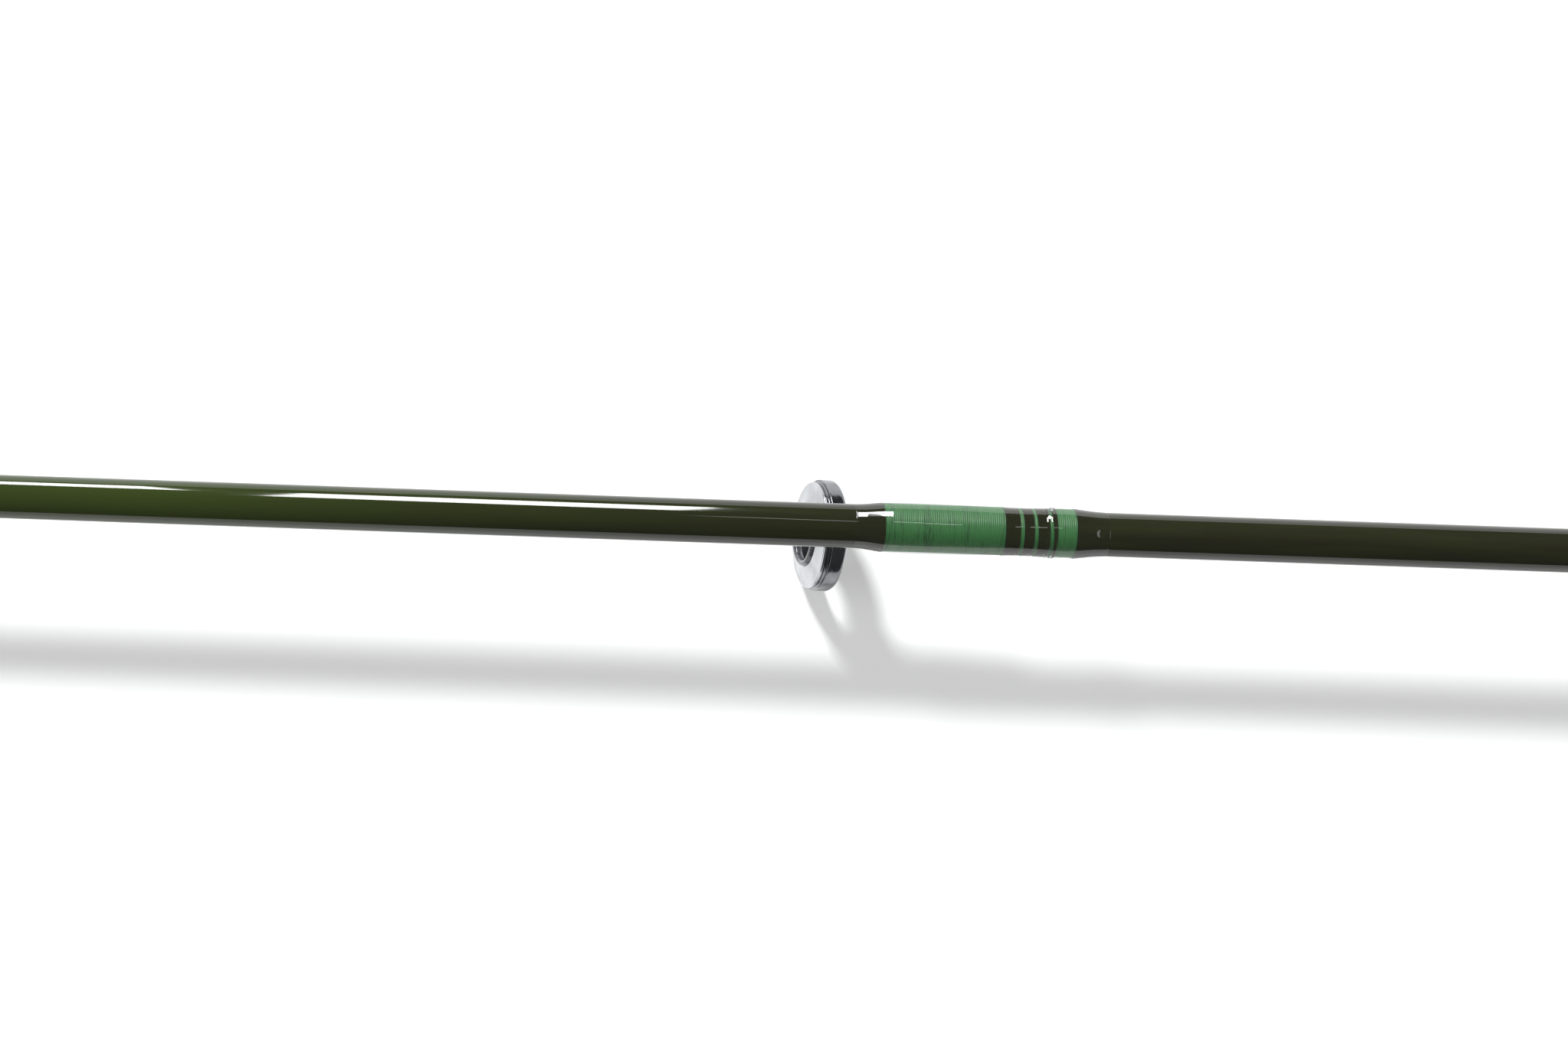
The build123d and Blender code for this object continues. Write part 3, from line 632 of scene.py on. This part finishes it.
def finish_points(start, direction, steps, bands, size, foot, columns, gap, bubble=None):
    """Grid over a coat of finish, and where thread is under it.

    Its depth is read from the steps, then softened along the rod.
    Slow waves of a few microns keep it from being perfectly even, and it sags a little to one
    side, as cos^2. A bubble is a shallow pit with a raised rim: depth * (rim^2 - 1) *
    exp(-rim^2), with rim the distance over its radius.
    """
    distances = np.array([step[0] for step in steps]) * size
    depths = np.array([step[1] for step in steps]) * mm
    rows = int((distances[-1] - distances[0]) / gap) + 1
    distance = np.linspace(distances[0], distances[-1], rows)[:, None]
    depth = np.interp(distance, distances, depths)
    kernel = np.hanning(max(3, int(0.5 * mm / gap)) + 2)
    inner = np.convolve(np.pad(depth[:, 0], len(kernel) // 2, mode="edge"), kernel / kernel.sum(), "same")
    depth = inner[len(kernel) // 2:len(kernel) // 2 + len(distance), None]
    turn = angles(columns)[None]
    x = start + direction * distance
    radius = blank_radius(x)
    rise, half_width = foot_under(distance, size, foot) if foot else (np.zeros_like(distance),) * 2
    lead = np.clip((distance - distances[0]) / (1.6 * size), 0, 1)
    cover = np.maximum(depth, 0.004 * mm)
    outline = drawn_round(turn, radius, rise * lead, np.maximum(half_width * lead, 1e-6), cover)
    short_wave = np.sin(distance / (2.3 * mm) + 2 * np.cos(turn))
    long_wave = np.sin(2 * turn + distance / (5 * mm))
    sag = 0.05 * mm * np.maximum(np.cos(turn), 0) ** 2
    full_depth = np.clip(depth / (0.2 * mm), 0, 1)
    outline = outline + (0.006 * mm * short_wave * long_wave + sag) * full_depth
    if bubble:
        place, bearing, width, deep = bubble
        rim = ((distance - place) ** 2 + (radius * ((turn - bearing + pi) % (2 * pi) - pi)) ** 2) / width ** 2
        outline = outline + deep * (rim - 1) * np.exp(-rim) * 1.6
    ends = np.zeros_like(distance)
    ends[[0, -1]] = 0.03 * mm
    points = round_the_rod(x, outline - ends, turn)
    over_thread = over_bands(distance, bands, size) + 0 * turn
    return (points, over_thread) if direction > 0 else (points[::-1], over_thread[::-1])


# Over bare glass the finish takes the blank's own colour right out to its edge, as a lens
# does, so there it is nearly opaque olive. Over thread it is clear.
clear_finish, nodes, links, shader = new_material("clear_finish")
swirl = add_streaks(nodes, (300, 500, 500), 0.35, 0.65, 2.0)
cloth = add_streaks(nodes, (60, 900, 900), 0.3, 0.7)
thread_below = nodes.new("ShaderNodeAttribute")
thread_below.attribute_name = "mask"
clear = blend_colours(nodes, links, swirl, (0.010, 0.016, 0.010), (0.022, 0.03, 0.02))
olive = blend_colours(nodes, links, cloth, blank_brown, blank_olive)
links.new(blend_colours(nodes, links, thread_below.outputs["Fac"], olive, clear), shader.inputs["Base Color"])
links.new(range_of(nodes, links, swirl, 0.02, 0.05), shader.inputs["Roughness"])
links.new(range_of(nodes, links, thread_below.outputs["Fac"], 0.88, 0.26), shader.inputs["Alpha"])
links.new(range_of(nodes, links, thread_below.outputs["Fac"], 0.12, 1.0), shader.inputs["Coat Weight"])
shader.inputs["IOR"].default_value = 1.56
shader.inputs["Coat IOR"].default_value = 2.4
shader.inputs["Coat Roughness"].default_value = 0.03


def finish_piece(name, coats, body, node):
    """Coats of clear finish joined as one piece."""
    piece = joined_piece(name, [(points, False, over_thread) for points, over_thread in coats], body)
    piece.data.materials.append(clear_finish)
    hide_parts(node)
    return piece


for name in guide_names[:-1]:
    size = Ring(name).scale * wrap_size_of_section
    shown = name == "guide_4"
    bubble = (20.2 * size, radians(86), 0.36 * mm, 0.07 * mm) if shown else None
    coats = [finish_points(start, direction, finish_steps, thread_bands, size, foot_length * size,
                           144 if shown else 72, (0.06 if shown else 0.16) * mm, bubble)
             for start, direction in wrap_edge[name]]
    finish_piece(f"{name}_clear_coat", coats, body_of_guide[name], f"{name}_finish")

for node, body in (("butt_ferrule", "butt_section"), ("socket", "tip_section"), ("tip_top", "tip_section")):
    low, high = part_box(f"{node}_wrap")
    length = (high.x - low.x) / mm
    out = 0.9 if node != "tip_top" else 0.0
    steps = ((-0.9, 0.0), (-0.5, 0.1), (0.0, 0.25), (0.4, 0.28), (length - 0.4, 0.28), (length, 0.25),
             (length + out * 0.6, 0.1), (length + out, 0.0))
    coat = finish_points(low.x, 1, steps, ((0.0, length),), mm, 0, 72, 0.12 * mm)
    finish_piece(f"{node}_clear_coat", [coat], body, f"{node}_finish")


# --- Hook keeper --------------------------------------------------------------------------
# A stainless strap with an eye is wrapped on just ahead of the grip. A wire ring swings in
# the eye and holds the fly's hook while the angler walks.

low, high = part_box("keeper_ring")
wire_radius = (high.x - low.x) / 2
keeper_centre = (low + high) / 2
keeper_radius = (high.y - low.y) / 2 - wire_radius
keeper_turn = angles(96)[None]
wire_turn = np.linspace(pi, -pi, 24, endpoint=False)[:, None]
out = keeper_radius + wire_radius * np.sin(wire_turn)
keeper_points = np.stack([keeper_centre.x + wire_radius * np.cos(wire_turn) + 0 * keeper_turn,
                          out * np.cos(keeper_turn), keeper_centre.z + out * np.sin(keeper_turn)], -1)
keeper_ring = woven("keeper_wire_ring", keeper_points, "keeper_ring", True)
keeper_ring.data.materials.append(guide_metal)
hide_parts("keeper_ring")
finish_node("keeper_bracket", guide_metal)

low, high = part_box("keeper_bracket")
keeper_x = (low.x + high.x) / 2
keeper_reach = 2.2 * mm
keeper_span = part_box("keeper_wraps")[1].x - keeper_x - keeper_reach
keeper_steps = ((-0.6, 0.0), (-0.3, 0.1), (0.0, 0.26), (0.5, 0.28), (keeper_span / mm - 0.3, 0.28),
                (keeper_span / mm + 0.3, 0.16), (keeper_span / mm + 1.2, 0.0))
keeper_bands = []
keeper_coats = []
for direction in (-1, 1):
    start = keeper_x + direction * keeper_reach
    keeper_bands.append(wound(start, direction, 0.0, keeper_span, 0.5 * mm, 5.3 * mm, 5, 80))
    keeper_coats.append(finish_points(start, direction, keeper_steps, ((0.0, keeper_span / mm),), mm, 0, 80,
                                      0.12 * mm))
wrap_piece("keeper_thread", keeper_bands, "butt_section", "keeper_wraps")
finish_piece("keeper_clear_coat", keeper_coats, "butt_section", "keeper_finish")


# --- Cork grip ----------------------------------------------------------------------------
# Cork rings are glued on a rod, turned on a lathe to a cigar shape and sanded. Their glue
# lines show as fine dark seams, and pits in the cork are filled or left open.

cork_low, cork_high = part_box("cork_grip")
cork_rings = 14
cork_length = cork_rings * 12.7 * mm
grip_rear, grip_front, grip_swell = 10.8 * mm, 7.0 * mm, 2.2 * mm


def grip_radius(x):
    """Rear to front radius as share^3, and a swell of sin(pi * share^0.9) between them."""
    share = np.clip((x - cork_low.x) / cork_length, 0, 1)
    return grip_rear + (grip_front - grip_rear) * share ** 3 + grip_swell * np.sin(pi * share ** 0.9)


cork_x = np.linspace(cork_low.x, cork_high.x, 560)[:, None]
cork_turn = angles(168)[None]
cork_r = grip_radius(cork_x) - 0.02 * mm + 0 * cork_turn
seam = np.abs((cork_x - cork_low.x + 6.35 * mm) % (12.7 * mm) - 6.35 * mm)
inside_ends = (cork_x > cork_low.x + 2 * mm) & (cork_x < cork_high.x - 2 * mm)
cork_r = cork_r - 0.06 * mm * np.exp(-(seam / (0.18 * mm)) ** 2) * inside_ends
random = np.random.default_rng(7)
pit_count = 420
pit_x = random.uniform(cork_low.x, cork_high.x, pit_count)
pit_turn = random.uniform(0, 2 * pi, pit_count)
pit_long = random.uniform(0.25, 0.9, pit_count) * mm
pit_wide = random.uniform(0.3, 1.5, pit_count) * mm
pit_deep = random.uniform(0.06, 0.3, pit_count) * mm
for place, bearing, long, wide, deep in zip(pit_x, pit_turn, pit_long, pit_wide, pit_deep):
    rows = np.abs(cork_x[:, 0] - place) < 3 * long
    round_it = cork_r[rows].mean() * ((cork_turn - bearing + pi) % (2 * pi) - pi)
    cork_r[rows] -= deep * np.exp(-((cork_x[rows] - place) / long) ** 2 - (round_it / wide) ** 2)
cork_points = round_the_rod(cork_x, cork_r, cork_turn)
cork_grip = woven("cork_grip_turned", cork_points, "butt_section")
cork, nodes, links, shader = new_material("cork")
cells = add_streaks(nodes, (900, 900, 900), 0.3, 0.7, 5.0)
patches = add_streaks(nodes, (150, 260, 260), 0.35, 0.65, 3.0)
pits = add_streaks(nodes, (1100, 420, 420), 0.62, 0.72, 2.0)
tan = blend_colours(nodes, links, patches, (0.42, 0.235, 0.115), (0.60, 0.385, 0.20))
grained = blend_colours(nodes, links, cells, (0.36, 0.20, 0.095), tan)
pitted = blend_colours(nodes, links, pits, grained, (0.085, 0.04, 0.02))
place = nodes.new("ShaderNodeTexCoord")
split = nodes.new("ShaderNodeSeparateXYZ")
links.new(place.outputs["Object"], split.inputs["Vector"])
from_rear = nodes.new("ShaderNodeMath")
from_rear.operation = "SUBTRACT"
from_rear.inputs[1].default_value = cork_low.x - 6.35 * mm
links.new(split.outputs["X"], from_rear.inputs[0])
to_seam = nodes.new("ShaderNodeMath")
to_seam.operation = "PINGPONG"
to_seam.inputs[1].default_value = 6.35 * mm
links.new(from_rear.outputs[0], to_seam.inputs[0])
seam_mask = nodes.new("ShaderNodeMapRange")
seam_mask.inputs["From Min"].default_value = 6.1 * mm
seam_mask.inputs["From Max"].default_value = 6.3 * mm
links.new(to_seam.outputs[0], seam_mask.inputs["Value"])
seamed = blend_colours(nodes, links, seam_mask.outputs["Result"], pitted, (0.16, 0.08, 0.04))
links.new(seamed, shader.inputs["Base Color"])
links.new(range_of(nodes, links, cells, 0.62, 0.85), shader.inputs["Roughness"])
bump(nodes, links, cells, 0.04 * mm, shader)
cork_grip.data.materials.append(cork)
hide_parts("cork_grip")


# --- Reel seat ----------------------------------------------------------------------------
# The seat is a walnut spacer between satin aluminium fittings. The barrel is turned and cut
# with a screw thread, the nut is knurled, and the hoods take the two ends of a reel's foot.

seat_metal, nodes, links, shader = new_material("seat_metal")
turned_marks = add_streaks(nodes, (5200, 220, 220), 0.3, 0.7)
wear = add_streaks(nodes, (260, 260, 260), 0.45, 0.62, 4.0)
silver = blend_colours(nodes, links, wear, (0.50, 0.50, 0.50), (0.57, 0.57, 0.56))
links.new(silver, shader.inputs["Base Color"])
links.new(range_of(nodes, links, turned_marks, 0.24, 0.42), shader.inputs["Roughness"])
shader.inputs["Metallic"].default_value = 1.0
bump(nodes, links, turned_marks, 0.006 * mm, shader)
for node in ("fixed_hood", "sliding_hood", "winding_check"):
    finish_node(node, seat_metal)

low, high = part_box("butt_cap")
cap_radius = high.y
cap_path = joined(((low.x, 0.5 * mm), (low.x, cap_radius - 3.4 * mm)),
                  ((low.x + 0.25 * mm, cap_radius - 3.0 * mm), (low.x, cap_radius - 2.6 * mm)),
                  arc((low.x + 1.4 * mm, cap_radius - 1.4 * mm), 1.4 * mm, 180, 90, 9),
                  ((high.x - 0.6 * mm, cap_radius), (high.x, cap_radius - 0.6 * mm),
                   (high.x, 9.02 * mm), (high.x - 1 * mm, 9.0 * mm)))
cap_points = round_the_rod(cap_path[:, :1], cap_path[:, 1:], angles(128))
butt_cap = woven("butt_cap_turned", cap_points, "butt_section")
butt_cap.data.materials.append(seat_metal)
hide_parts("butt_cap")

low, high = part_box("seat_barrel")
barrel_radius = high.y
screw_start, screw_end, screw_pitch, screw_depth = 10.5 * mm, 47.0 * mm, 1.25 * mm, 0.45 * mm
barrel_x = np.linspace(low.x, high.x, 460)[:, None]
barrel_turn = angles(96)[None]
flank = np.abs(((barrel_x / screw_pitch - barrel_turn / (2 * pi)) % 1.0) * 2 - 1)
cut = np.clip(1.25 - 1.6 * flank, 0, 1)
on_screw = np.clip(np.minimum(barrel_x - screw_start, screw_end - barrel_x) / screw_pitch + 0.5, 0, 1)
barrel_points = round_the_rod(barrel_x, barrel_radius - screw_depth * cut * on_screw, barrel_turn)
seat_barrel = woven("seat_barrel_screw", barrel_points, "butt_section")
seat_barrel.data.materials.append(seat_metal)
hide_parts("seat_barrel")

# The nut's rim is cut with forty round flutes: the rim less depth * (1 - (offset / half)^2).
low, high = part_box("lock_nut")
nut_radius, nut_bore, edge = 11.4 * mm, 9.06 * mm, 0.7 * mm
nut_path = joined(((high.x, nut_bore), (low.x, nut_bore), (low.x, nut_radius - edge),
                   (low.x + edge, nut_radius)),
                  np.stack([np.linspace(low.x + edge, high.x - edge, 8)[1:-1], np.full(6, nut_radius)], -1),
                  ((high.x - edge, nut_radius), (high.x, nut_radius - edge)))
nut_turn = angles(480)[None]
flute = ((nut_turn * 40 / (2 * pi)) % 1.0 - 0.5) / 0.26
flute_depth = 0.42 * mm * np.maximum(1 - flute ** 2, 0)
nut_r = nut_path[:, 1:] + 0 * nut_turn
nut_r = np.where(nut_r > nut_radius - flute_depth, nut_radius - flute_depth, nut_r)
lock_nut = woven("lock_nut_knurled", round_the_rod(nut_path[:, :1], nut_r, nut_turn), "lock_nut", True)
lock_nut.data.materials.append(seat_metal)
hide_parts("lock_nut")

low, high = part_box("seat_spacer")
spacer_x = np.linspace(low.x, high.x, 90)[:, None]
seat_spacer = woven("seat_spacer_wood", round_the_rod(spacer_x, high.y, angles(144)[None]), "butt_section")
walnut, nodes, links, shader = new_material("walnut")
figure = add_streaks(nodes, (26, 420, 420), 0.35, 0.65, 3.0)
pores = add_streaks(nodes, (260, 5200, 5200), 0.55, 0.68, 2.0)
board = blend_colours(nodes, links, figure, (0.055, 0.022, 0.010), (0.17, 0.075, 0.032))
links.new(blend_colours(nodes, links, pores, board, (0.02, 0.008, 0.004)), shader.inputs["Base Color"])
links.new(range_of(nodes, links, pores, 0.28, 0.45), shader.inputs["Roughness"])
shader.inputs["Coat Weight"].default_value = 0.7
shader.inputs["Coat Roughness"].default_value = 0.08
bump(nodes, links, pores, -0.01 * mm, shader)
seat_spacer.data.materials.append(walnut)
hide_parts("seat_spacer")

fibre, nodes, links, shader = new_material("fibre")
pulp = add_streaks(nodes, (1800, 1800, 1800), 0.3, 0.7, 4.0)
tan_fibre = blend_colours(nodes, links, pulp, (0.22, 0.13, 0.07), (0.33, 0.21, 0.12))
links.new(tan_fibre, shader.inputs["Base Color"])
shader.inputs["Roughness"].default_value = 0.8
finish_node("seat_arbors", fibre)


# --- Floor, light and camera --------------------------------------------------------------
# The rod stands over a pale floor, which its stripping guide and the shown guide touch. The
# key light is high on the -Y side and towards the tip. Two low windows on the same side and a
# dim strip overhead make the highlights on the gloss and light nothing else.

low_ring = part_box("guide_4_frame")[0]
low_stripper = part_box("stripper_frame")[0]
ring_toe = 0.9 * mm
contact_x = shown_ring.x + ring_toe
stripper_x = sum(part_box("stripper_insert"), Vector()).x / 2
slope = (low_ring.z - low_stripper.z) / (contact_x - stripper_x)
floor_reach = 30.0
floor_gap = 0.02 * mm
mesh = bpy.data.meshes.new("floor")
corners = [(contact_x + dx, dy, low_ring.z - floor_gap + slope * dx)
           for dx, dy in ((-floor_reach, -floor_reach), (floor_reach, -floor_reach),
                          (floor_reach, floor_reach), (-floor_reach, floor_reach))]
mesh.from_pydata(corners, [], [(0, 1, 2, 3)])
floor = bpy.data.objects.new("floor", mesh)
bpy.context.scene.collection.objects.link(floor)
pale_floor, nodes, links, shader = new_material("pale_floor")
shader.inputs["Base Color"].default_value = (0.86, 0.87, 0.88, 1.0)
shader.inputs["Roughness"].default_value = 0.9
shader.inputs["Specular IOR Level"].default_value = 0.1
shader.inputs["Emission Color"].default_value = (1.0, 1.0, 0.985, 1.0)
shader.inputs["Emission Strength"].default_value = 0.32
floor.data.materials.append(pale_floor)


def panel(name, towards, distance, width, height, power):
    """Rectangular light that faces the shown guide from a direction, a distance away."""
    data = bpy.data.lights.new(name, "AREA")
    data.shape = "RECTANGLE"
    data.size, data.size_y, data.energy = width, height, power
    lamp = bpy.data.objects.new(name, data)
    direction = Vector(towards).normalized()
    lamp.location = shown_ring + direction * distance
    lamp.rotation_euler = direction.to_track_quat("Z", "Y").to_euler()
    bpy.context.scene.collection.objects.link(lamp)
    return lamp


panel("key_light", (0.57, -0.92, 1.0), 5.0, 0.73, 0.73, 290.0)
panel("tip_fill", (0.8, 0.05, 0.75), 2.0, 1.3, 1.3, 7.0)
panel("butt_fill", (-1.1, 0.05, 0.9), 2.0, 1.2, 1.2, 8.0)
for window in (panel("near_window", (-0.048, -0.85, 0.53), 1.6, 0.22, 0.72, 12.0),
               panel("far_window", (0.135, -0.95, 0.31), 1.6, 0.24, 0.5, 9.0),
               panel("strip_light", (-0.175, -0.31, 0.95), 1.6, 0.2, 0.06, 0.16)):
    window.visible_diffuse = False

world = bpy.data.worlds.new("studio")
world.use_nodes = True
world.node_tree.nodes["Background"].inputs["Color"].default_value = (1.0, 1.0, 1.0, 1.0)
world.node_tree.nodes["Background"].inputs["Strength"].default_value = 0.10
bpy.context.scene.world = world

camera_data = bpy.data.cameras.new("camera")
camera_data.lens = 84.25
camera_data.clip_start = 0.01
camera_data.clip_end = 100.0
camera = bpy.data.objects.new("camera", camera_data)
bpy.context.scene.collection.objects.link(camera)
right = Vector((-0.98861, -0.01907, 0.14926))
up = Vector((0.0342, -0.99445, 0.09949))
camera.matrix_world = Matrix.Translation((1.70001, 0.0346, 0.32997)) @ Matrix(
    (right, up, right.cross(up))).transposed().to_4x4()
bpy.context.scene.camera = camera
bpy.context.scene.view_settings.view_transform = "Standard"
